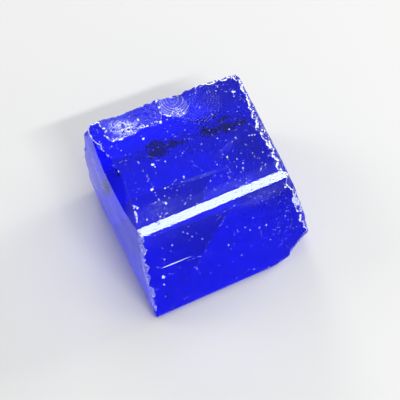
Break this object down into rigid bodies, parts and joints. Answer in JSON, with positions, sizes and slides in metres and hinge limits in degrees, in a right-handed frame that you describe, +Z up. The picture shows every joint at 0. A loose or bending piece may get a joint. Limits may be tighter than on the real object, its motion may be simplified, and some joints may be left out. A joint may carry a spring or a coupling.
{
  "type": "glass rough block",
  "caption": "Rough block of deep cobalt-blue cast glass: flat base and top, sloping cast front with a narrow arris flat, broken ends and far side with shell-shaped chips.",
  "frame": {"origin": "centre of the block's bounding box, on the flat resting face", "axes": "+Z up through the slab thickness, +X along the cast front edge towards the flared end, +Y from the cast front towards the broken far side"},
  "size_m": [0.0358, 0.0342, 0.0185],
  "materials": {
    "cobalt_glass": "glossy, lightly scratched"
  },
  "bodies": {
    "root": {"glass_block": "cobalt_glass"}
  },
  "joints": []
}
